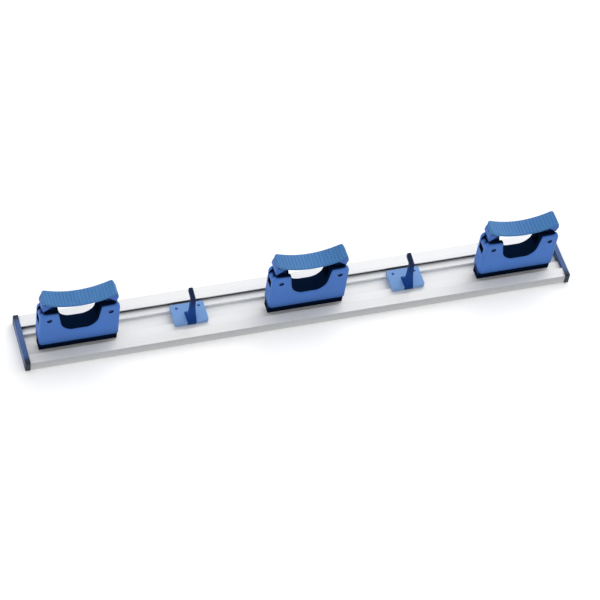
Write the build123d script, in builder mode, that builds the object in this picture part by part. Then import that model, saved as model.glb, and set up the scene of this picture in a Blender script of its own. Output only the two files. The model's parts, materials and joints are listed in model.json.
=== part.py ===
from build123d import *
import os

# The frame: +X along the rail, +Z up the wall, the wall at Y = 0, and the fittings stand out towards -Y.
# Heights are measured out from the rail's front, so the wall is at a height of minus rail_depth.

# Rail, a hollow extrusion
rail_length = 540.0
rail_height = 58.0
rail_depth = 11.0
rail_wall = 1.8
rail_bevel = 1.5
rail_corner_radius = 0.8
lip_edge = 14.6
lip_thickness = 1.2
lip_undercut = 6.0
bead_edge = 19.2
channel_depth = 3.8
slot_mouth = 15.2
slot_height = 19.0
slot_floor = 3.0

# Wall screw holes, countersunk in the floor of the slot
screw_spacing = 440.0
screw_hole_radius = 2.4
screw_head_radius = 4.6

# End caps
cap_thickness = 5.0
cap_overhang = 0.6
cap_corner_radius = 2.0
cap_edge_radius = 1.2
plug_length = 9.0
plug_clearance = 0.15

# Runner behind every fitting
runner_clearance = 0.25
runner_side_clearance = 0.3

# Handle holders
holder_places = {"left": -221.0, "middle": 4.0, "right": 219.5}
holder_width = 76.6
holder_drop = 18.5
holder_bottom = -16.6
holder_edge_radius = 2.6
holder_corner_radius = 3.2
toe_height = 6.0
toe_recess = 3.5
foot_inset = 0.6
foot_runner_inset = 8.3
throat_floor = 25.4
throat_floor_width = 31.2
throat_mouth_width = 40.0
throat_corner_radius = 13.0
ear_top = 52.4
ear_outer_radius = 5.5
ear_inner_radius = 3.0
ear_thickness = 4.6
pin_inset = 9.0
pin_height = 43.5
pin_radius = 2.5
pin_recess = 1.4
pin_clearance = 0.08

# Jaws, which turn on the pins
knuckle_radius = 8.7
knuckle_side_clearance = 0.3
fork_clearance = 0.8
leg_waist = 11.0
head_thickness = 3.0
head_inset = 3.0
head_inner_angle = 12.5
heel_proud = 1.0
heel_drop = 4.8
heel_clearance = 1.8
pad_seat_gap = 0.05

# Soft lining: two pads and a web on one shallow arc across the mouth
mouth_radius = 74.0
mouth_height = 61.2
mouth_depth_clearance = 0.2
lining_thickness = 1.7
pad_inner_angle = 12.1
pad_tip_angle = 27.1
pad_lip_angle = 1.8
pad_corner_radius = 3.0
web_gap_angle = 0.21
rib_radius = 0.6
rib_pitch = 2.69
web_ribs = 9
pad_ribs = 5

# Tool hooks
hook_places = {"left": -109.0, "right": 110.7}
plate_width = 33.4
plate_top = 11.1
plate_bottom = -12.2
plate_proud = 0.8
plate_corner_radius = 2.0
plate_edge_radius = 0.6
plate_runner_inset = 2.0
plate_hole_radius = 1.5
plate_hole_spacing = 22.0
plate_hole_height = 6.0
hook_reach = 34.0
hook_root_width = 10.0
hook_neck_width = 5.6
hook_neck_reach = 17.0
hook_tip_width = 4.6
hook_bottom = -11.8
hook_arm_thickness = 6.0
hook_arm_rise = 2.0
hook_tip_top = 3.6
hook_tip_thickness = 5.0
hook_root_top = 2.0
hook_root_reach = 7.0
hook_bend_radius = 9.0
hook_throat_radius = 5.0
hook_tip_radius = 2.5
hook_edge_radius = 1.0

# Sizes that follow from those above
rail_half = rail_height / 2
floor_height = -channel_depth
slot_half = slot_height / 2
mouth_half = slot_mouth / 2
floor_wall_back = floor_height - rail_wall
slot_floor_height = slot_floor - rail_depth
holder_top = holder_bottom + holder_drop
holder_middle = holder_bottom + holder_drop / 2
pin_offset = holder_width / 2 - pin_inset
knuckle_width = holder_drop - 2 * ear_thickness - 2 * knuckle_side_clearance
fork_width = holder_drop - 2 * ear_thickness
fork_floor = pin_height - knuckle_radius - fork_clearance
mouth_centre = mouth_height + mouth_radius
lining_depth = holder_drop - 2 * mouth_depth_clearance
lining_top = holder_top - mouth_depth_clearance
head_radius = mouth_radius + lining_thickness + pad_seat_gap
head_tip_angle = pad_tip_angle - pad_lip_angle - web_gap_angle
head_depth = lining_depth - 2 * head_inset


def across(x, z):
    """A plane square to +Z at a fitting's middle: u runs along the rail and v out from the rail's front."""
    return Plane(origin=(x, -rail_depth, z), x_dir=(1, 0, 0), z_dir=(0, 0, -1))


def facing(x, height):
    """A plane parallel to the wall: u runs along the rail and v up the wall; it looks away from the wall."""
    return Plane(origin=(x, -rail_depth - height, 0), x_dir=(1, 0, 0), z_dir=(0, -1, 0))


def section(x):
    """A plane square to the rail: u runs out from the rail's front and v up the wall."""
    return Plane(origin=(x, -rail_depth, 0), x_dir=(0, -1, 0), z_dir=(-1, 0, 0))


def save(piece, node):
    piece.part.label = node
    export_step(piece.part, f"parts/{node}.step")


def front_at(z, inset):
    """The height of the rail's bevelled front at z, less a wall."""
    slope = rail_bevel / (rail_half - bead_edge)
    return -slope * max(0.0, abs(z) - bead_edge) - inset


def chamber(side, gap):
    """Corners of the hollow behind the rail's upper (+1) or lower (-1) bead, made smaller by a gap."""
    inner_edge = lip_edge + lip_undercut if side > 0 else bead_edge
    low = inner_edge + rail_wall + gap
    high = rail_half - rail_wall - gap
    back = rail_wall - rail_depth + gap
    return [
        (back, side * low),
        (back, side * high),
        (front_at(high, rail_wall + gap), side * high),
        (front_at(low, rail_wall + gap), side * low),
    ]


def arc_strip(inner_radius, outer_radius, start, end):
    """Face between two arcs about the mouth's centre; angles are from the line out of the wall, + to +X."""
    centre = (0, mouth_centre)
    inner = CenterArc(centre, inner_radius, start - 90, end - start)
    outer = CenterArc(centre, outer_radius, start - 90, end - start)
    Line(inner @ 0, outer @ 0)
    Line(inner @ 1, outer @ 1)


def on_arc(radius, angle):
    """A point at an angle on an arc about the mouth's centre."""
    return Vector(0, mouth_centre) + Vector(0, -radius).rotate(Axis.Z, angle)


# Rail
with BuildPart() as rail:
    with BuildSketch(section(0)) as outline:
        with BuildLine():
            Polyline(
                (-rail_depth, -rail_half),
                (-rail_bevel, -rail_half),
                (0, -bead_edge),
                (floor_height, -bead_edge),
                (floor_height, -mouth_half),
                (floor_wall_back, -mouth_half),
                (floor_wall_back, -slot_half),
                (slot_floor_height, -slot_half),
                (slot_floor_height, slot_half),
                (floor_wall_back, slot_half),
                (floor_wall_back, mouth_half),
                (floor_height, mouth_half),
                (floor_height, lip_edge + lip_undercut),
                (-lip_thickness, lip_edge + lip_undercut),
                (-lip_thickness, lip_edge),
                (0, lip_edge),
                (0, bead_edge),
                (-rail_bevel, rail_half),
                (-rail_depth, rail_half),
                close=True,
            )
        make_face()
        front_corners = outline.vertices().filter_by(lambda v: v.X == -rail_bevel)
        fillet(front_corners, rail_corner_radius)
        for side in (-1, 1):
            with BuildLine():
                Polyline(*chamber(side, 0), close=True)
            make_face(mode=Mode.SUBTRACT)
            middle_chamber_edge = slot_half + rail_wall
            bead_inner = chamber(side, 0)[0][1]
            with BuildLine():
                Polyline(
                    (rail_wall - rail_depth, side * middle_chamber_edge),
                    (rail_wall - rail_depth, bead_inner),
                    (floor_wall_back, bead_inner),
                    (floor_wall_back, side * middle_chamber_edge),
                    close=True,
                )
            make_face(mode=Mode.SUBTRACT)
    extrude(amount=rail_length / 2, both=True)
    with Locations(facing(-screw_spacing / 2, slot_floor_height), facing(screw_spacing / 2, slot_floor_height)):
        CounterSinkHole(screw_hole_radius, screw_head_radius, depth=slot_floor, counter_sink_angle=90)


def make_cap(side):
    """An end cap on the rail's left (-1) or right (+1) end."""
    end = side * rail_length / 2
    with BuildPart() as cap:
        with BuildSketch(section(end)) as plate:
            with Locations(((cap_overhang - rail_depth) / 2, 0)):
                Rectangle(rail_depth + cap_overhang, rail_height + 2 * cap_overhang)
            fillet(plate.vertices().group_by(Axis.X)[-1], cap_corner_radius)
        extrude(amount=-side * cap_thickness)
        outer_face = cap.faces().sort_by(Axis.X)[-1 if side > 0 else 0]
        fillet(outer_face.edges().sort_by(Axis.Y)[:-1], cap_edge_radius)
        for bead in (-1, 1):
            with BuildSketch(section(end)):
                with BuildLine():
                    Polyline(*chamber(bead, plug_clearance), close=True)
                make_face()
            extrude(amount=side * plug_length)
    return cap


def add_runner(x, length, foot_height):
    """The T-shaped runner of a fitting: its neck in the slot's mouth and its head behind the channel floor."""
    neck_half = mouth_half - runner_side_clearance
    head_half = slot_half - runner_side_clearance
    head_front = floor_wall_back - runner_clearance
    head_back = slot_floor_height + runner_clearance
    for half, low, high in ((neck_half, head_front, foot_height), (head_half, head_back, head_front)):
        with BuildSketch(across(x, half)) as bar:
            with Locations((0, (low + high) / 2)):
                Rectangle(length, high - low)
        extrude(bar.sketch, amount=2 * half)


def make_holder_body(x):
    """A U-shaped body with a forked ear at the end of each arm."""
    foot_height = floor_height + runner_clearance
    floor_half = throat_floor_width / 2
    ear_half = throat_mouth_width / 2
    with BuildPart() as body:
        with BuildSketch(across(x, holder_top)) as front:
            with Locations((0, (toe_height + ear_top) / 2)):
                Rectangle(holder_width, ear_top - toe_height)
            with BuildLine():
                Polyline(
                    (-floor_half, throat_floor),
                    (floor_half, throat_floor),
                    (ear_half, ear_top),
                    (-ear_half, ear_top),
                    close=True,
                )
            make_face(mode=Mode.SUBTRACT)
            fillet(front.vertices().group_by(Axis.Y)[0], holder_corner_radius)
            ear_corners = front.vertices().group_by(Axis.Y)[-1].sort_by(Axis.X)
            fillet(ear_corners[1:-1], ear_inner_radius)
            ear_corners = front.vertices().group_by(Axis.Y)[-1].sort_by(Axis.X)
            fillet([ear_corners[0], ear_corners[-1]], ear_outer_radius)
            fillet(front.vertices().sort_by_distance((0, throat_floor))[:2], throat_corner_radius)
        extrude(amount=holder_drop)
        near_face = body.faces().sort_by(Axis.Z)[0]
        far_face = body.faces().sort_by(Axis.Z)[-1]
        fillet(near_face.edges() + far_face.edges(), holder_edge_radius)
        with BuildSketch(across(x, holder_top - ear_thickness)):
            with Locations((0, fork_floor + holder_width / 2)):
                Rectangle(2 * holder_width, holder_width)
        extrude(amount=fork_width, mode=Mode.SUBTRACT)
        with BuildSketch(across(x, holder_top)):
            with Locations((-pin_offset, pin_height), (pin_offset, pin_height)):
                Circle(pin_radius)
        extrude(amount=holder_drop, mode=Mode.SUBTRACT)
        with BuildSketch(across(x, holder_top - toe_recess)):
            with Locations((0, (toe_height + foot_height) / 2)):
                Rectangle(holder_width - 2 * foot_inset, toe_height - foot_height)
        extrude(amount=holder_drop - 2 * toe_recess)
        add_runner(x, holder_width - 2 * foot_runner_inset, toe_height)
    return body


def make_pins(x):
    """The two hinge pins, pressed into the ears and set back from their faces."""
    with BuildPart() as pins:
        with BuildSketch(across(x, holder_top - pin_recess)):
            with Locations((-pin_offset, pin_height), (pin_offset, pin_height)):
                Circle(pin_radius)
        extrude(amount=holder_drop - 2 * pin_recess)
    return pins


def make_jaw(x, side):
    """A jaw on the left (-1) or right (+1) arm: knuckle, leg, a curved head under the pad and a heel outside it."""
    waist = leg_waist / 2
    head_back = head_radius + head_thickness
    leg_inner = on_arc(head_radius + head_thickness / 2, (head_inner_angle + head_tip_angle) / 2)
    leg_outer = on_arc(head_back, head_tip_angle)
    heel_top = on_arc(head_back, pad_tip_angle)
    start, end = sorted((side * head_inner_angle, side * head_tip_angle))
    with BuildPart() as jaw:
        with BuildSketch(across(x, holder_middle + knuckle_width / 2)):
            with Locations((side * pin_offset, pin_height)):
                Circle(knuckle_radius)
            with BuildLine():
                Polyline(
                    (side * (pin_offset - waist), pin_height),
                    (side * leg_inner.X, leg_inner.Y),
                    (side * leg_outer.X, leg_outer.Y),
                    (side * (pin_offset + waist), pin_height),
                    close=True,
                )
            make_face()
            with Locations((side * pin_offset, pin_height)):
                Circle(pin_radius + pin_clearance, mode=Mode.SUBTRACT)
        extrude(amount=knuckle_width)
        with BuildSketch(across(x, lining_top - head_inset)):
            with BuildLine():
                arc_strip(head_radius, head_back, start, end)
            make_face()
            with BuildLine():
                Polyline(
                    (side * leg_inner.X, leg_inner.Y),
                    (side * leg_outer.X, leg_outer.Y),
                    (side * heel_top.X, heel_top.Y),
                    (side * (heel_top.X + heel_proud), heel_top.Y - heel_drop),
                    (side * (pin_offset + waist), ear_top + heel_clearance),
                    close=True,
                )
            make_face()
        extrude(amount=head_depth)
    return jaw


def add_ribs(x, angles):
    """Half-round ribs that run across a lining at the given angles."""
    with BuildSketch(across(x, lining_top)) as ribs:
        with Locations(*[on_arc(mouth_radius, angle) for angle in angles]):
            Circle(rib_radius)
    extrude(ribs.sketch, amount=lining_depth)


def make_pad(x, side):
    """The soft pad of a jaw, ribbed, with a lip over the jaw's tip."""
    back = mouth_radius + lining_thickness
    start, end = sorted((side * pad_inner_angle, side * pad_tip_angle))
    lip_start, lip_end = sorted((side * (pad_tip_angle - pad_lip_angle), side * pad_tip_angle))
    first_rib = (web_ribs + 1) / 2 * rib_pitch
    tip = on_arc(mouth_radius + lining_thickness / 2, side * pad_tip_angle)
    with BuildPart() as pad:
        with BuildSketch(across(x, lining_top)):
            with BuildLine():
                arc_strip(mouth_radius, back, start, end)
            make_face()
        extrude(amount=lining_depth)
        for z in (lining_top, lining_top - lining_depth):
            fillet(pad.edges().sort_by_distance((x + tip.X, -rail_depth - tip.Y, z))[0], pad_corner_radius)
        with BuildSketch(across(x, lining_top - head_inset)):
            with BuildLine():
                arc_strip(mouth_radius, back + head_thickness, lip_start, lip_end)
            make_face()
        extrude(amount=head_depth)
        add_ribs(x, [side * (first_rib + rib_pitch * i) for i in range(pad_ribs)])
    return pad


def make_web(x):
    """The soft ribbed strip between the pads."""
    half_angle = pad_inner_angle - web_gap_angle
    with BuildPart() as web:
        with BuildSketch(across(x, lining_top)):
            with BuildLine():
                arc_strip(mouth_radius, mouth_radius + lining_thickness, -half_angle, half_angle)
            make_face()
        extrude(amount=lining_depth)
        add_ribs(x, [rib_pitch * (i - (web_ribs - 1) / 2) for i in range(web_ribs)])
    return web


def make_hook(x):
    """A hook on a square plate."""
    arm_top = hook_bottom + hook_arm_thickness
    foot_height = floor_height + runner_clearance
    with BuildPart() as hook:
        with BuildSketch(section(x)) as side_view:
            with BuildLine():
                Polyline(
                    (0, hook_bottom),
                    (hook_reach - hook_arm_rise, hook_bottom + hook_arm_rise),
                    (hook_reach, hook_tip_top),
                    (hook_reach - hook_tip_thickness, hook_tip_top),
                    (hook_reach - hook_tip_thickness - hook_arm_rise / 2, arm_top + hook_arm_rise),
                    (hook_root_reach, arm_top),
                    (0, hook_root_top),
                    close=True,
                )
            make_face()
            corners = side_view.vertices().sort_by(Axis.X)
            root, bends, tips = corners[2:3], corners[3:4], corners[4:]
            fillet(root, hook_throat_radius)
            fillet(bends, hook_throat_radius)
            fillet(tips.filter_by(lambda v: v.Y > arm_top), hook_tip_radius)
            fillet(tips.filter_by(lambda v: v.Y < arm_top), hook_bend_radius)
        extrude(amount=hook_root_width / 2, both=True)
        with BuildSketch(across(x, plate_top)):
            with BuildLine():
                flank = Spline(
                    (hook_root_width / 2, 0),
                    (hook_neck_width / 2, hook_neck_reach),
                    (hook_tip_width / 2, hook_reach),
                )
                mirror(flank, about=Plane.YZ)
                Line(flank @ 1, (-hook_tip_width / 2, hook_reach))
                Line((-hook_root_width / 2, 0), flank @ 0)
            make_face()
        extrude(amount=plate_top - plate_bottom, mode=Mode.INTERSECT)
        root_face = hook.faces().sort_by(Axis.Y)[-1]
        side_edges = hook.edges().filter_by(Axis.X, reverse=True) - root_face.edges()
        fillet(side_edges, hook_edge_radius)
        with BuildSketch(facing(x, foot_height)):
            with Locations((0, (plate_top + plate_bottom) / 2)):
                RectangleRounded(plate_width, plate_top - plate_bottom, plate_corner_radius)
            with GridLocations(plate_hole_spacing, 0, 2, 1):
                with Locations((0, plate_hole_height)):
                    Circle(plate_hole_radius, mode=Mode.SUBTRACT)
        extrude(amount=plate_proud - foot_height)
        plate_front = hook.faces().filter_by(Axis.Y).sort_by_distance((x, -rail_depth - plate_proud, plate_top))[0]
        fillet(plate_front.outer_wire().edges(), plate_edge_radius)
        add_runner(x, plate_width - 2 * plate_runner_inset, foot_height)
    return hook


os.makedirs("parts", exist_ok=True)
save(rail, "rail")
save(make_cap(-1), "end_cap_left")
save(make_cap(1), "end_cap_right")
for place, x in holder_places.items():
    save(make_holder_body(x), f"{place}_holder_body")
    save(make_pins(x), f"{place}_holder_pins")
    save(make_web(x), f"{place}_holder_web")
    for hand, side in (("left", -1), ("right", 1)):
        save(make_jaw(x, side), f"{place}_holder_jaw_{hand}")
        save(make_pad(x, side), f"{place}_holder_pad_{hand}")
for place, x in hook_places.items():
    save(make_hook(x), f"{place}_hook")
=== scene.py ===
"""Looks of a wall tool holder: a satin rail with end caps, three spring-jaw handle holders and two hooks."""
import json
import math

import bpy
from mathutils import Matrix, Vector


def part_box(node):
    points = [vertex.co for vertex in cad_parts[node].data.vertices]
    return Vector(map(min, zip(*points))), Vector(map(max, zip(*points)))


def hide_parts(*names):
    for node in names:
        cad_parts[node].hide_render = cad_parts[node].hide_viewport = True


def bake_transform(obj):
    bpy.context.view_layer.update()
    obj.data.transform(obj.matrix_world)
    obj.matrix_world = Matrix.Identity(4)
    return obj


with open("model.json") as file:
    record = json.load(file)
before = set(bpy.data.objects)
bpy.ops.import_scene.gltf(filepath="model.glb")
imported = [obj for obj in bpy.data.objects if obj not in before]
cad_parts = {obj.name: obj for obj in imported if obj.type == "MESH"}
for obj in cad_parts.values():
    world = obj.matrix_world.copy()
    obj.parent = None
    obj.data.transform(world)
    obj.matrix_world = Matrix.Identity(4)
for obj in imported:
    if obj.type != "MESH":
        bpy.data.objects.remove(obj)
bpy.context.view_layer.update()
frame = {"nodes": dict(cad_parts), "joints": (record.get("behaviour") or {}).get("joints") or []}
nodes = frame["nodes"]
joints = {joint["name"]: joint for joint in frame["joints"]}

MM = 0.001
HOLDERS = ("left", "middle", "right")
HOOKS = ("left", "right")
SIDES = {"left": -1, "right": 1}

# Throat of a holder, whose walls are painted in deep shade: the height of its floor over the rail's front,
# and its reach past the pins' ends
THROAT_HALF_WIDTH = 20.8 * MM
THROAT_FLOOR = 24.6 * MM
THROAT_PAST_PINS = 0.8 * MM

# Lining: the soft ribbed band that lies on one shallow arc across both jaws
MOUTH_RADIUS = 74.0 * MM
MOUTH_ABOVE_PINS = 17.7 * MM
LINING_THICKNESS = 1.7 * MM
LINING_TIP_ANGLE = math.radians(27.1)
LINING_EDGE_RADIUS = 0.45 * MM
LINING_CORNER_RADIUS = 3.0 * MM
RIB_PITCH = math.radians(2.69)
RIB_HALF_WIDTH = 0.75 * MM
RIB_HEIGHT = 0.6 * MM
RIB_END_FADE = 0.9 * MM
RIB_TIP_FADE = 0.35
COLUMNS_PER_RIB = 24
ROWS_ACROSS = 36
ROWS_THROUGH = 6
SHARP_ANGLE = math.radians(50)

# Lip that the band turns back over a jaw's tip; its slopes run from this share of its sizes to the whole
LIP_ANGLE = math.radians(1.6)
LIP_DEPTH = 3.0 * MM
LIP_INSET = 3.0 * MM
LIP_RAMP = 0.8

# Rail's finish with its painted shade and light: pairs of places between which it changes, up from the
# rail's middle or in depth
SIDE_EDGE = (28.2 * MM, 28.8 * MM)
SIDE_BOUNCE = (-11.0 * MM, 6.0 * MM)
SIDE_BOUNCE_SHARE = 0.7
SLOT_FRONT = (-7.1 * MM, -6.8 * MM)
CLEAR_OF_BACK = (0.6 * MM, 1.0 * MM)
SLOT_WALL_FOOT = (3.0 * MM, 7.0 * MM)
SLOT_WALL_TOP = (20.0 * MM, 21.0 * MM)
SLOT_LIGHT = 0.9
UNDERCUT_FOOT = (9.0 * MM, 12.0 * MM)
UNDERCUT_SHADE = (6.0 * MM, 0.15, 0.80)
RAIL_ROUGHNESS = 0.58
RAIL_METALLIC = 0.3
RAIL_BUMP = 0.006 * MM
RAIL_BLOOM_GLOSS = 0.10
RAIL_LINE_GLOSS = 0.14
BAND_SHARE = 0.6
BAND_HEIGHT = 0.5

# Painted shade of a moulding: the distance over which crevices darken it, and the openness at which it is
# deepest and gone
BODY_SHADE = (24.0 * MM, 0.66, 0.95)
JAW_SHADE = (45.0 * MM, 0.80, 0.96)
SLIGHT_SHADE = (14.0 * MM, 0.10, 0.55)

# Mouldings' finish and painted shade and light: sizes, pairs of levels between which a mask rises, and
# shares of colour and height
EDGE_RADIUS = 0.5 * MM
EDGE_TURN = (0.01, 0.16)
EDGE_WEAR = 0.55
EDGE_SHINE = 0.10
SCUFF_LEVELS = (0.62, 0.78)
SCUFF_WEAR = 0.10
SCUFF_DULLNESS = 0.08
CLOUD_TONES = (0.86, 1.14)
PAINTED_SHADE_TONE = 0.05
GRAIN_SCALE = 2400.0
GRAIN_HEIGHT = 0.5
CLOUD_HEIGHT = 0.2
CLOUD_GLOSS = 0.14
GRAIN_GLOSS = 0.10
MOULD_LINE_WIDTH = (0.05 * MM, 0.16 * MM)
MOULD_LINE_HEIGHT = 1.2
MOULD_BUMP = 0.05 * MM
MOULD_SPECULAR = 0.3
THROAT_EDGE = 0.4 * MM
UPPER_EDGE = 2.0 * MM
UPPER_LIGHT = 0.8

# Ends of a cap, darkened by painted shade: the height from the rail's middle where its blue starts to
# deepen, and over what length
CAP_SHADE_START = 19.0 * MM
CAP_SHADE_LENGTH = 8.0 * MM
CAP_END_SHADE = 0.14

# Hook's painted light and shade: the step from the lit plate to the shaded arm, the shaded root below the
# arm, and the run over which the arm's painted shade deepens
PLATE_STEP = (1.6 * MM, 0.3 * MM)
ROOT_HEIGHT = 0.9 * MM
ROOT_HALF_WIDTH = 4.7 * MM
ROOT_EDGE = 0.3 * MM
TIP_RUN = (16.0 * MM, 34.0 * MM)
HOOK_ROUGHNESS = 0.42
HOOK_SPECULAR = 0.1
HOOK_BUMP = 0.04 * MM
HOOK_CLOUDING = 0.2
HOOK_EDGE_WEAR = 0.3
HOOK_EDGE_SHINE = 0.08
ARM_CLOUD_TONE = 0.6
PLATE_CLOUD_TONE = 0.7
PLATE_EDGE_TONE = 1.2

# Lining's finish
LINING_ROUGHNESS = 0.68
LINING_BUMP = 0.05 * MM
LINING_CLOUD_TONES = (0.88, 1.04)
LINING_BLOOM_GLOSS = 0.16
LINING_BLOOM_HEIGHT = 0.5
LINING_CLOUD_HEIGHT = 0.3
LINING_CLOUDING = 0.15
CREST_WEAR = 0.45
CREST_SHINE = 0.12
SHEEN = {"Sheen Weight": 0.12, "Sheen Roughness": 0.5}

# Studio, in metres and watts: a wall, the surround's glow by direction, and a lamp
WALL_HALF = 3.0
WALL_GAP = 0.5 * MM
WALL_WHITE = (0.97, 0.97, 0.97, 1.0)
WALL_LIFT = 0.06
GLOW_ALL_ROUND = 0.26
GLOW_FRONT = 0.58
GLOW_LEFT = 0.38
GLOW_ABOVE = 0.14
GLOW_SPREAD = (-0.2, 0.9)
GLOW_SPREAD_ABOVE = (-0.3, 0.9)
WHITE = (1.0, 1.0, 1.0, 1.0)
LAMP_SIZE = 6.5
LAMP_POWER = 165.0
LAMP_PLACE = (3.0, -3.2, 2.5)

# View of the photograph, about the middle of the rail
VIEW_AZIMUTH = math.radians(-17.61)
VIEW_ELEVATION = math.radians(-34.55)
VIEW_ROLL = math.radians(-19.39)
VIEW_DISTANCE = 2403.8 * MM
VIEW_CENTRE = Vector((4.1 * MM, 0.0, 1.2 * MM))
VIEW_FOCAL_PIXELS = 2462.9
PICTURE_WIDTH = 600
SENSOR_WIDTH = 36.0

# Places of the Mix node's colour sockets
MIX_FACTOR, MIX_A, MIX_B, MIX_RESULT = 0, 6, 7, 2

# Rays that a shader sends out for its rounded edges and its crevices
EDGE_SAMPLES = 4
OPEN_SAMPLES = 16


class Wire:
    """An output of a node tree; arithmetic on it adds Math nodes."""

    def __init__(self, graph, socket):
        self.graph = graph
        self.socket = socket

    def __add__(self, other):
        return self.graph.math("ADD", self, other)

    __radd__ = __add__

    def __sub__(self, other):
        return self.graph.math("SUBTRACT", self, other)

    def __rsub__(self, other):
        return self.graph.math("SUBTRACT", other, self)

    def __mul__(self, other):
        return self.graph.math("MULTIPLY", self, other)

    __rmul__ = __mul__

    def __truediv__(self, other):
        return self.graph.math("DIVIDE", self, other)

    def __pow__(self, other):
        return self.graph.math("POWER", self, other)

    def __neg__(self):
        return self.graph.math("MULTIPLY", self, -1.0)

    def __abs__(self):
        return self.graph.math("ABSOLUTE", self)


class Graph:
    """A node tree that is written as expressions."""

    def __init__(self, tree):
        self.tree = tree

    def node(self, kind, settings=None, inputs=None, output=0):
        """Adds a node, sets it up, feeds its sockets and gives one of its outputs."""
        made = self.tree.nodes.new(kind)
        for name, value in (settings or {}).items():
            setattr(made, name, value)
        for key, value in (inputs or {}).items():
            if isinstance(value, Wire):
                self.tree.links.new(value.socket, made.inputs[key])
            else:
                made.inputs[key].default_value = value
        return Wire(self, made.outputs[output]) if made.outputs else None

    def math(self, operation, *values):
        return self.node("ShaderNodeMath", {"operation": operation}, dict(enumerate(values)))

    def limit(self, value, low, high):
        return self.node("ShaderNodeClamp", None, {"Value": value, "Min": low, "Max": high})

    def smooth(self, value, low, high):
        """0 below low, 1 above high and a smooth step between."""
        return self.node("ShaderNodeMapRange", {"interpolation_type": "SMOOTHSTEP"},
                         {"Value": value, "From Min": low, "From Max": high})

    def within(self, value, edge):
        """0 where a value is negative, 1 past the width of a soft edge and a smooth step between."""
        return self.smooth(value, 0.0, edge)

    def blend(self, factor, first, second):
        """A colour between two colours."""
        return self.node("ShaderNodeMix", {"data_type": "RGBA"},
                         {MIX_FACTOR: factor, MIX_A: first, MIX_B: second}, MIX_RESULT)

    def split(self, vector):
        """The three parts of a vector."""
        made = self.node("ShaderNodeSeparateXYZ", None, {"Vector": vector}).socket.node
        return [Wire(self, part) for part in made.outputs]

    def join(self, x, y, z):
        return self.node("ShaderNodeCombineXYZ", None, {"X": x, "Y": y, "Z": z})

    def noise(self, place, scale, detail=2.0, stretch=(1.0, 1.0, 1.0)):
        """Noise of a scale per metre, drawn out along an axis whose stretch is small."""
        placed = self.node("ShaderNodeMapping", None, {"Vector": place, "Scale": stretch})
        return self.node("ShaderNodeTexNoise", None,
                         {"Vector": placed, "Scale": scale, "Detail": detail}, "Fac")


def varied(level, *parts):
    """A level that noise moves up and down; each part is a noise and the span that it moves over."""
    for noise, span in parts:
        level = level + (noise - 0.5) * span
    return level


def rgb(red, green, blue):
    """A colour as seen on screen, 0 to 255, made linear for a shader."""
    def linear(value):
        share = value / 255
        return share / 12.92 if share <= 0.04045 else ((share + 0.055) / 1.055) ** 2.4
    return (linear(red), linear(green), linear(blue), 1.0)


def scaled(colour, share):
    """A colour made darker or lighter."""
    return tuple(part * share for part in colour[:3]) + (1.0,)


# Colours
RAIL_TONES = (rgb(208, 209, 210), rgb(224, 224, 225))
RAIL_SIDE_SHADE = rgb(176, 178, 181)
RAIL_SLOT_LIT = rgb(244, 245, 246)
RAIL_UNDERCUT_SHADE = rgb(20, 21, 18)
BODY_BLUE, BODY_POLISH = rgb(60, 112, 192), rgb(102, 148, 214)
JAW_BLUE, JAW_POLISH = rgb(52, 104, 190), rgb(96, 142, 212)
CAP_BLUE, CAP_POLISH = rgb(54, 84, 135), rgb(92, 121, 168)
PIN_BLUE, PIN_POLISH = rgb(42, 80, 146), rgb(60, 98, 162)
HOOK_ARM_SHADED, HOOK_TIP_SHADE, HOOK_PLATE_LIT = rgb(4, 60, 134), rgb(4, 22, 48), rgb(134, 175, 226)
LINING_BLUE, LINING_CREST = rgb(43, 107, 166), rgb(63, 127, 186)


# Finishes

def new_finish(name):
    """A material with an empty tree, and Object coordinates to draw on."""
    material = bpy.data.materials.new(name)
    material.use_nodes = True
    material.node_tree.nodes.clear()
    graph = Graph(material.node_tree)
    place = graph.node("ShaderNodeTexCoord", output="Object")
    return material, graph, place


def close_finish(graph, colour, roughness, height, depth, constants, painted_shade=None):
    """Ends a material in a shader with a bumped surface; constants are sockets that don't vary.

    Painted shade is a mask and a colour: the surface turns to that flat shade colour where the mask is 0."""
    bump = graph.node("ShaderNodeBump", None, {"Distance": depth, "Height": height})
    sockets = {"Base Color": colour, "Roughness": roughness, "Normal": bump}
    shader = graph.node("ShaderNodeBsdfPrincipled", None, {**sockets, **constants})
    # Painted shade: a flat dark diffuse where the mask is 0
    if painted_shade is not None:
        unshaded, shade = painted_shade
        flat_shade = graph.node("ShaderNodeBsdfDiffuse", None, {"Color": shade})
        shader = graph.node("ShaderNodeMixShader", None, {0: unshaded, 1: flat_shade, 2: shader})
    graph.node("ShaderNodeOutputMaterial", None, {"Surface": shader})


def edge_mask(graph):
    """Near 1 on sharp edges, where handling polishes a moulding, and 0 on its faces."""
    rounded = graph.node("ShaderNodeBevel", {"samples": EDGE_SAMPLES}, {"Radius": EDGE_RADIUS})
    true = graph.node("ShaderNodeNewGeometry", output="Normal")
    same = graph.node("ShaderNodeVectorMath", {"operation": "DOT_PRODUCT"}, {0: rounded, 1: true}, "Value")
    return graph.smooth(1.0 - same, *EDGE_TURN)


def unshaded_mask(graph, reach, low, high):
    """1 on open faces and 0 deep in crevices, where shade is painted."""
    seen = graph.node("ShaderNodeAmbientOcclusion", {"samples": OPEN_SAMPLES}, {"Distance": reach}, "AO")
    return graph.smooth(seen, low, high)


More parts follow.
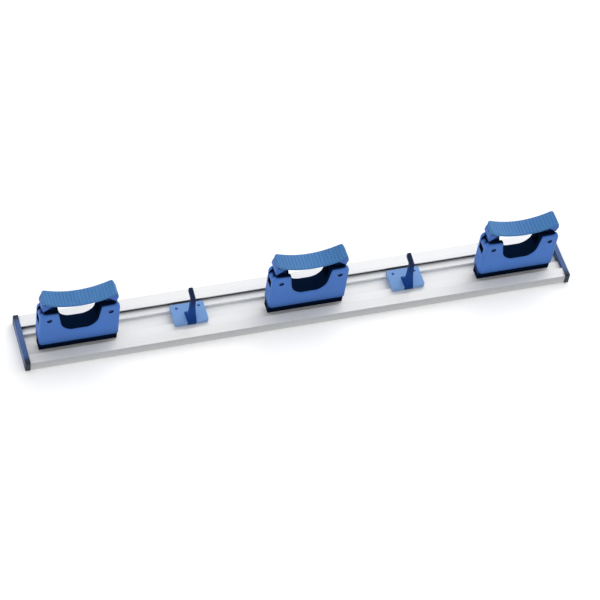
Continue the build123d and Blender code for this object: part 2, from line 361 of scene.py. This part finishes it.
def satin_aluminium():
    """Anodised extrusion: pale, with die lines along the rail.

    Shade is painted on its two sides, lifted near the wall as painted bounce light; light is painted on the
    slot's top wall and deep shade in the undercut of its lip."""
    material, graph, place = new_finish("satin_aluminium")
    lines = graph.noise(place, scale=1400.0, detail=3.0, stretch=(0.004, 1.0, 1.0))
    bands = graph.noise(place, scale=160.0, stretch=(0.01, 1.0, 1.0))
    bloom = graph.noise(place, scale=22.0, detail=3.0)
    tone = graph.blend(bands * BAND_SHARE + bloom * (1.0 - BAND_SHARE), *RAIL_TONES)
    _, depth, up = graph.split(place)
    # Painted shade on the rail's two sides, lifted towards the wall as painted bounce light
    shaded_side = graph.smooth(abs(up), *SIDE_EDGE) * (1.0 - graph.smooth(depth, *SIDE_BOUNCE) * SIDE_BOUNCE_SHARE)
    # Painted light on the slot's top wall
    in_slot = graph.smooth(depth, *SLOT_FRONT) * graph.smooth(-depth, *CLEAR_OF_BACK)
    on_wall = graph.smooth(up, *SLOT_WALL_FOOT) * (1.0 - graph.smooth(up, *SLOT_WALL_TOP))
    slot_lit = graph.blend(in_slot * on_wall * SLOT_LIGHT, tone, RAIL_SLOT_LIT)
    side_shaded = graph.blend(shaded_side, slot_lit, RAIL_SIDE_SHADE)
    # Painted shade in the undercut of the lip
    painted_shade = (1.0 - unshaded_mask(graph, *UNDERCUT_SHADE)) * graph.smooth(up, *UNDERCUT_FOOT)
    shaded = graph.blend(painted_shade, side_shaded, RAIL_UNDERCUT_SHADE)
    roughness = varied(RAIL_ROUGHNESS, (bloom, RAIL_BLOOM_GLOSS), (lines, RAIL_LINE_GLOSS))
    height = lines + bands * BAND_HEIGHT
    close_finish(graph, shaded, roughness, height, RAIL_BUMP, {"Metallic": RAIL_METALLIC})
    return material


def moulded_plastic(name, colour, polish, roughness, shade, mould_line=None, end=None, throat=None):
    """Moulded plastic with a fine spark texture, slight clouding, scuffs, polished edges and painted shade
    in crevices.

    A mould's parting line lies at the height of mould_line. Past an end, a height up or down from the middle
    of the rail, painted shade deepens the colour. Throat is the middle, half width, floor and half depth of
    an opening whose walls are painted in deep shade; above it the painted shade of crevices is lifted as
    painted light."""
    material, graph, place = new_finish(name)
    cloud = graph.noise(place, scale=34.0, detail=3.0)
    grain = graph.noise(place, scale=GRAIN_SCALE)
    scuffs = graph.smooth(graph.noise(place, scale=260.0, stretch=(1.0, 0.15, 1.0)), *SCUFF_LEVELS)
    edges = edge_mask(graph)
    along, depth, up = graph.split(place)
    dark, pale = (scaled(colour, tone) for tone in CLOUD_TONES)
    wear_and_painted_light = graph.blend(edges * EDGE_WEAR + scuffs * SCUFF_WEAR, graph.blend(cloud, dark, pale), polish)
    # Painted shade darkens a cap past its ends
    if end is not None:
        shaded_end = graph.within(abs(up) - end, CAP_SHADE_LENGTH)
        wear_and_painted_light = graph.blend(shaded_end, wear_and_painted_light, scaled(colour, CAP_END_SHADE))
    height = grain * GRAIN_HEIGHT + cloud * CLOUD_HEIGHT
    if mould_line is not None:
        off_line = graph.smooth(abs(up - mould_line), *MOULD_LINE_WIDTH)
        height = height + (1.0 - off_line) * MOULD_LINE_HEIGHT
    gloss = varied(roughness, (cloud, CLOUD_GLOSS), (grain, GRAIN_GLOSS))
    gloss = gloss - edges * EDGE_SHINE + scuffs * SCUFF_DULLNESS
    # Painted shade, deep in crevices
    unshaded = unshaded_mask(graph, *shade)
    # Painted deep shade on the throat's walls; above the throat painted light lifts the shade
    if throat is not None:
        middle, half_width, floor, half_deep = throat
        in_throat_shade = (graph.within(half_width - abs(along - middle), THROAT_EDGE)
                  * graph.within(floor - depth, THROAT_EDGE)
                  * graph.within(half_deep - abs(up - mould_line), THROAT_EDGE))
        lit_above = graph.within(up - (mould_line + half_deep), UPPER_EDGE)
        unshaded = graph.math("MAXIMUM", unshaded, lit_above * UPPER_LIGHT) * (1.0 - in_throat_shade)
    close_finish(graph, wear_and_painted_light, gloss, height, MOULD_BUMP, {"Specular IOR Level": MOULD_SPECULAR},
                 (unshaded, scaled(colour, PAINTED_SHADE_TONE)))
    return material


def hook_plastic(name, middle, plate_front, plate_foot):
    """A hook's moulding of one plastic: painted light makes the plate against the rail pale, and painted
    shade darkens the arm, deeper towards its tip.

    The painted shade runs on down the plate's lower side, below the arm's root."""
    material, graph, place = new_finish(name)
    cloud = graph.noise(place, scale=40.0, detail=3.0)
    grain = graph.noise(place, scale=GRAIN_SCALE)
    edges = edge_mask(graph)
    along, depth, up = graph.split(place)
    step_start, step_end = PLATE_STEP
    # Painted shade below the arm's root and on the arm, deepest at its tip; painted light on the plate
    root_shade = (graph.within(plate_foot + ROOT_HEIGHT - up, ROOT_EDGE)
               * graph.within(ROOT_HALF_WIDTH - abs(along - middle), ROOT_EDGE))
    lit_plate = graph.smooth(depth, plate_front - step_start, plate_front - step_end) * (1.0 - root_shade)
    tip_shade = graph.smooth(plate_front - depth, *TIP_RUN)
    tone = graph.blend(lit_plate, graph.blend(tip_shade, HOOK_ARM_SHADED, HOOK_TIP_SHADE), HOOK_PLATE_LIT)
    deep = graph.blend(lit_plate, scaled(HOOK_ARM_SHADED, ARM_CLOUD_TONE), scaled(HOOK_PLATE_LIT, PLATE_CLOUD_TONE))
    clouded = graph.blend(cloud * HOOK_CLOUDING, tone, deep)
    wear_and_painted_light = graph.blend(edges * lit_plate * HOOK_EDGE_WEAR, clouded, scaled(HOOK_PLATE_LIT, PLATE_EDGE_TONE))
    gloss = varied(HOOK_ROUGHNESS, (cloud, CLOUD_GLOSS), (grain, GRAIN_GLOSS)) - edges * HOOK_EDGE_SHINE
    close_finish(graph, wear_and_painted_light, gloss, grain * GRAIN_HEIGHT + cloud * CLOUD_HEIGHT, HOOK_BUMP,
                 {"Specular IOR Level": HOOK_SPECULAR})
    return material


def soft_lining():
    """Soft rubbery plastic: matt, rubbed paler on the crests of its ribs."""
    material, graph, place = new_finish("lining_blue")
    crest = graph.node("ShaderNodeAttribute", {"attribute_name": "crest"}, output="Fac")
    cloud = graph.noise(place, scale=60.0, detail=3.0)
    bloom = graph.noise(place, scale=900.0, detail=3.0)
    dark, pale = (scaled(LINING_BLUE, tone) for tone in LINING_CLOUD_TONES)
    rubbed = crest * CREST_WEAR + cloud * LINING_CLOUDING
    tone = graph.blend(rubbed, graph.blend(cloud, dark, pale), LINING_CREST)
    gloss = varied(LINING_ROUGHNESS, (bloom, LINING_BLOOM_GLOSS)) - crest * CREST_SHINE
    height = bloom * LINING_BLOOM_HEIGHT + cloud * LINING_CLOUD_HEIGHT
    close_finish(graph, tone, gloss, height, LINING_BUMP, SHEEN)
    return material


# Soft band

def add_input(tree, name, kind):
    """A named input of a geometry tree; gives its identifier."""
    return tree.interface.new_socket(name=name, in_out="INPUT", socket_type=kind).identifier


def ribbed_lining_tree():
    """Half of the ribbed band: a rounded strip laid on an arc, from the band's middle to a jaw's tip."""
    tree = bpy.data.node_groups.new("ribbed_lining", "GeometryNodeTree")
    tree.interface.new_socket(name="Geometry", in_out="OUTPUT", socket_type="NodeSocketGeometry")
    sizes = ("Side", "Middle", "Crest Height", "Depth Centre", "Radius", "Thickness", "Depth", "Tip Angle",
             "Edge Radius", "Corner Radius", "Lip Angle", "Lip Depth", "Lip Inset",
             "Rib Pitch", "Rib Half Width", "Rib Height", "Rib End Fade")
    counts = ("Columns", "Through", "Across")
    keys = {name: add_input(tree, name, "NodeSocketFloat") for name in sizes}
    keys.update({name: add_input(tree, name, "NodeSocketInt") for name in counts})
    keys["Finish"] = add_input(tree, "Finish", "NodeSocketMaterial")
    graph = Graph(tree)
    entry = graph.node("NodeGroupInput").socket.node
    given = {name: Wire(graph, entry.outputs[name]) for name in keys}
    block = graph.node("GeometryNodeMeshCube", None, {
        "Size": (1.0, 1.0, 1.0), "Vertices X": given["Columns"], "Vertices Y": given["Through"],
        "Vertices Z": given["Across"]}, "Mesh")
    along, through, across = graph.split(graph.node("GeometryNodeInputPosition"))

    # Strip with its far corners cut round
    length = given["Tip Angle"] * given["Radius"]
    edge = given["Edge Radius"]
    corner = given["Corner Radius"]
    half_thick = given["Thickness"] * 0.5
    half_deep = given["Depth"] * 0.5
    rise = through * given["Thickness"]
    reach = across * given["Depth"]
    past_corner = graph.math("MAXIMUM", abs(reach) - half_deep + corner, 0.0)
    cut_back = corner - (corner * corner - past_corner * past_corner) ** 0.5
    run = (along + 0.5) * (length - cut_back)

    # Rounded edges
    core_run = graph.math("MINIMUM", run, length - cut_back - edge)
    core_rise = graph.limit(rise, edge - half_thick, half_thick - edge)
    core_reach = graph.limit(reach, edge - half_deep, half_deep - edge)
    outward = graph.node("ShaderNodeVectorMath", {"operation": "NORMALIZE"},
                         {0: graph.join(run - core_run, rise - core_rise, reach - core_reach)})
    out_run, out_rise, out_reach = graph.split(outward)
    run = core_run + out_run * edge
    rise = core_rise + out_rise * edge
    reach = core_reach + out_reach * edge

    # Ribs on the outer face, and the lip on the inner one
    pitch = given["Rib Pitch"] * given["Radius"]
    from_rib = pitch * 0.5 - graph.math("PINGPONG", run + pitch * 0.5, pitch * 0.5)
    round_top = graph.math("MAXIMUM", 1.0 - (from_rib / given["Rib Half Width"]) ** 2.0, 0.0) ** 0.5
    from_side = half_deep - abs(reach)
    crest = (round_top * graph.within(from_side, given["Rib End Fade"])
             * graph.within(length - run, pitch * RIB_TIP_FADE))
    outer = graph.limit(through + 0.5, 0.0, 1.0)
    lip_run = given["Lip Angle"] * given["Radius"]
    lip = (graph.smooth(run, length - lip_run, length - lip_run * LIP_RAMP)
           * graph.smooth(from_side, given["Lip Inset"] * LIP_RAMP, given["Lip Inset"]))
    level = rise + crest * outer * given["Rib Height"] - lip * (1.0 - outer) * given["Lip Depth"]

    # Laid on the arc
    angle = given["Side"] * run / given["Radius"]
    radius = given["Radius"] + half_thick - level
    place = graph.join(given["Middle"] + radius * graph.math("SINE", angle),
                       radius * graph.math("COSINE", angle) - given["Radius"] - given["Crest Height"],
                       given["Depth Centre"] + reach)
    laid = graph.node("GeometryNodeSetPosition", None, {"Geometry": block, "Position": place})
    marked = graph.node("GeometryNodeStoreNamedAttribute", {"data_type": "FLOAT", "domain": "POINT"},
                        {"Geometry": laid, "Name": "crest", "Value": crest * outer})
    right_side = graph.math("GREATER_THAN", given["Side"], 0.0)
    turned = graph.node("GeometryNodeFlipFaces", None, {"Mesh": marked, "Selection": right_side})
    smooth = graph.node("GeometryNodeSetShadeSmooth", None, {0: turned})
    whole = graph.node("GeometryNodeRealizeInstances", None, {"Geometry": smooth})
    finished = graph.node("GeometryNodeSetMaterial", None, {"Geometry": whole, "Material": given["Finish"]})
    graph.node("NodeGroupOutput", None, {"Geometry": finished})
    return tree, keys


def grown(name, tree, keys, values):
    """The plain mesh object that a geometry tree makes with these values."""
    seed = bpy.data.objects.new(name + "_seed", bpy.data.meshes.new(name + "_seed"))
    bpy.context.scene.collection.objects.link(seed)
    modifier = seed.modifiers.new("form", "NODES")
    modifier.node_group = tree
    for key, value in values.items():
        modifier[keys[key]] = value
    evaluated = seed.evaluated_get(bpy.context.evaluated_depsgraph_get())
    mesh = bpy.data.meshes.new_from_object(evaluated)
    bpy.data.objects.remove(seed)
    mesh.set_sharp_from_angle(angle=SHARP_ANGLE)
    mesh.name = name
    piece = bpy.data.objects.new(name, mesh)
    bpy.context.scene.collection.objects.link(piece)
    return piece


def line_holder(place, tree, keys, finish):
    """Lays the two halves of the ribbed band across a holder's jaws."""
    holder = f"{place}_holder"
    low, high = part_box(f"{holder}_web")
    middle = (low.x + high.x) / 2
    for hand, side in SIDES.items():
        jaw = f"{holder}_jaw_{hand}"
        pin = Vector(joints[f"{jaw}_turn"]["pos_m"])
        piece = grown(f"{holder}_lining_{hand}", tree, keys, {
            "Side": float(side), "Middle": middle, "Crest Height": MOUTH_ABOVE_PINS - pin.y,
            "Depth Centre": (low.z + high.z) / 2, "Radius": MOUTH_RADIUS, "Thickness": LINING_THICKNESS,
            "Depth": high.z - low.z, "Tip Angle": LINING_TIP_ANGLE, "Edge Radius": LINING_EDGE_RADIUS,
            "Corner Radius": LINING_CORNER_RADIUS, "Lip Angle": LIP_ANGLE, "Lip Depth": LIP_DEPTH,
            "Lip Inset": LIP_INSET, "Rib Pitch": RIB_PITCH, "Rib Half Width": RIB_HALF_WIDTH,
            "Rib Height": RIB_HEIGHT, "Rib End Fade": RIB_END_FADE,
            "Columns": round(LINING_TIP_ANGLE / RIB_PITCH * COLUMNS_PER_RIB), "Through": ROWS_THROUGH,
            "Across": ROWS_ACROSS, "Finish": finish})
        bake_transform(piece)
        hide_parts(f"{holder}_pad_{hand}", f"{holder}_web")


# Rigid pieces

def paint(finish, *names):
    """Gives CAD pieces a finish."""
    for name in names:
        mesh = nodes[name].data
        mesh.materials.clear()
        mesh.materials.append(finish)


def paint_all():
    """Gives every rigid piece its finish."""
    rail_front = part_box("rail")[0].y
    pins_low, pins_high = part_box("middle_holder_pins")
    mould_line = (pins_low.z + pins_high.z) / 2
    throat_half_deep = (pins_high.z - pins_low.z) / 2 + THROAT_PAST_PINS
    jaw_blue = moulded_plastic("jaw_blue", JAW_BLUE, JAW_POLISH, roughness=0.45, shade=JAW_SHADE,
                               mould_line=mould_line)
    cap_blue = moulded_plastic("cap_blue", CAP_BLUE, CAP_POLISH, roughness=0.46, shade=SLIGHT_SHADE,
                               end=CAP_SHADE_START)
    pin_dark = moulded_plastic("pin_dark", PIN_BLUE, PIN_POLISH, roughness=0.45, shade=SLIGHT_SHADE)
    paint(satin_aluminium(), "rail")
    paint(cap_blue, "end_cap_left", "end_cap_right")
    for place in HOLDERS:
        holder = f"{place}_holder"
        low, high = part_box(f"{holder}_body")
        throat = ((low.x + high.x) / 2, THROAT_HALF_WIDTH, rail_front - THROAT_FLOOR, throat_half_deep)
        body_blue = moulded_plastic(f"{holder}_blue", BODY_BLUE, BODY_POLISH, roughness=0.50,
                                    shade=BODY_SHADE, mould_line=mould_line, throat=throat)
        paint(body_blue, f"{holder}_body")
        paint(pin_dark, f"{holder}_pins")
        paint(jaw_blue, f"{holder}_jaw_left", f"{holder}_jaw_right")
    for place in HOOKS:
        hook = f"{place}_hook"
        low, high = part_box(hook)
        paint(hook_plastic(f"{hook}_blue", (low.x + high.x) / 2, rail_front, low.z), hook)


# Studio

def studio_wall():
    """A pale wall behind the rail that takes its shadow; from behind it isn't there."""
    corners = [(x * WALL_HALF, WALL_GAP, z * WALL_HALF) for x, z in ((-1, -1), (1, -1), (1, 1), (-1, 1))]
    mesh = bpy.data.meshes.new("studio_wall")
    mesh.from_pydata(corners, [], [(0, 1, 2, 3)])
    wall = bpy.data.objects.new("studio_wall", mesh)
    bpy.context.scene.collection.objects.link(wall)
    wall.visible_glossy = False
    wall.visible_shadow = False
    material, graph, _ = new_finish("studio_wall")
    behind = graph.node("ShaderNodeNewGeometry", output="Backfacing")
    plaster = graph.node("ShaderNodeBsdfDiffuse", None, {"Color": WALL_WHITE})
    camera = graph.node("ShaderNodeLightPath", output="Is Camera Ray")
    lift = graph.node("ShaderNodeEmission", None, {"Strength": camera * WALL_LIFT})
    lifted = graph.node("ShaderNodeAddShader", None, {0: plaster, 1: lift})
    clear = graph.node("ShaderNodeBsdfTransparent")
    shown = graph.node("ShaderNodeMixShader", None, {0: behind, 1: lifted, 2: clear})
    graph.node("ShaderNodeOutputMaterial", None, {"Surface": shown})
    mesh.materials.append(material)


def studio_surround():
    """A surround that is seen and mirrored white, and lights most from the front and the left."""
    world = bpy.data.worlds.new("studio")
    bpy.context.scene.world = world
    world.use_nodes = True
    world.node_tree.nodes.clear()
    graph = Graph(world.node_tree)
    across, deep, up = graph.split(graph.node("ShaderNodeTexCoord", output="Generated"))
    front = graph.smooth(-deep, *GLOW_SPREAD)
    left = graph.smooth(-across, *GLOW_SPREAD)
    above = graph.smooth(up, *GLOW_SPREAD_ABOVE)
    glow = GLOW_ALL_ROUND + front * GLOW_FRONT + left * GLOW_LEFT + above * GLOW_ABOVE
    path = graph.node("ShaderNodeLightPath").socket.node
    kinds = ("Is Camera Ray", "Is Glossy Ray", "Is Transmission Ray")
    camera, glossy, through = (Wire(graph, path.outputs[kind]) for kind in kinds)
    seen = graph.limit(camera + glossy + through, 0.0, 1.0)
    level = seen + (1.0 - seen) * glow
    shine = graph.node("ShaderNodeBackground", None, {"Color": WHITE, "Strength": level})
    graph.node("ShaderNodeOutputWorld", None, {"Surface": shine})


def studio_lamp():
    """A large soft lamp in front, above and to the right."""
    lamp = bpy.data.lights.new("soft_lamp", "AREA")
    lamp.shape = "DISK"
    lamp.size = LAMP_SIZE
    lamp.energy = LAMP_POWER
    stand = bpy.data.objects.new("soft_lamp", lamp)
    bpy.context.scene.collection.objects.link(stand)
    stand.location = LAMP_PLACE
    stand.rotation_mode = "QUATERNION"
    stand.rotation_quaternion = (-stand.location).to_track_quat("-Z", "Y")


def photograph_camera():
    """A camera at the photograph's angle, turned about its own line of sight as the photograph is."""
    back = Vector((math.sin(VIEW_AZIMUTH) * math.cos(VIEW_ELEVATION),
                   -math.cos(VIEW_AZIMUTH) * math.cos(VIEW_ELEVATION), math.sin(VIEW_ELEVATION)))
    level_right = (-back).cross(Vector((0, 0, 1))).normalized()
    level_up = level_right.cross(-back)
    right = level_right * math.cos(VIEW_ROLL) + level_up * math.sin(VIEW_ROLL)
    up = level_up * math.cos(VIEW_ROLL) - level_right * math.sin(VIEW_ROLL)
    data = bpy.data.cameras.new("camera")
    data.sensor_width = SENSOR_WIDTH
    data.lens = VIEW_FOCAL_PIXELS / PICTURE_WIDTH * SENSOR_WIDTH
    camera = bpy.data.objects.new("camera", data)
    bpy.context.scene.collection.objects.link(camera)
    turn = Matrix((right, up, back)).transposed().to_4x4()
    camera.matrix_world = Matrix.Translation(VIEW_CENTRE + back * VIEW_DISTANCE) @ turn
    bpy.context.scene.camera = camera


bpy.context.scene.view_settings.view_transform = "Standard"
studio_wall()
studio_surround()
studio_lamp()
photograph_camera()
paint_all()
lining_finish = soft_lining()
lining_tree, lining_keys = ribbed_lining_tree()
for place in HOLDERS:
    line_holder(place, lining_tree, lining_keys, lining_finish)
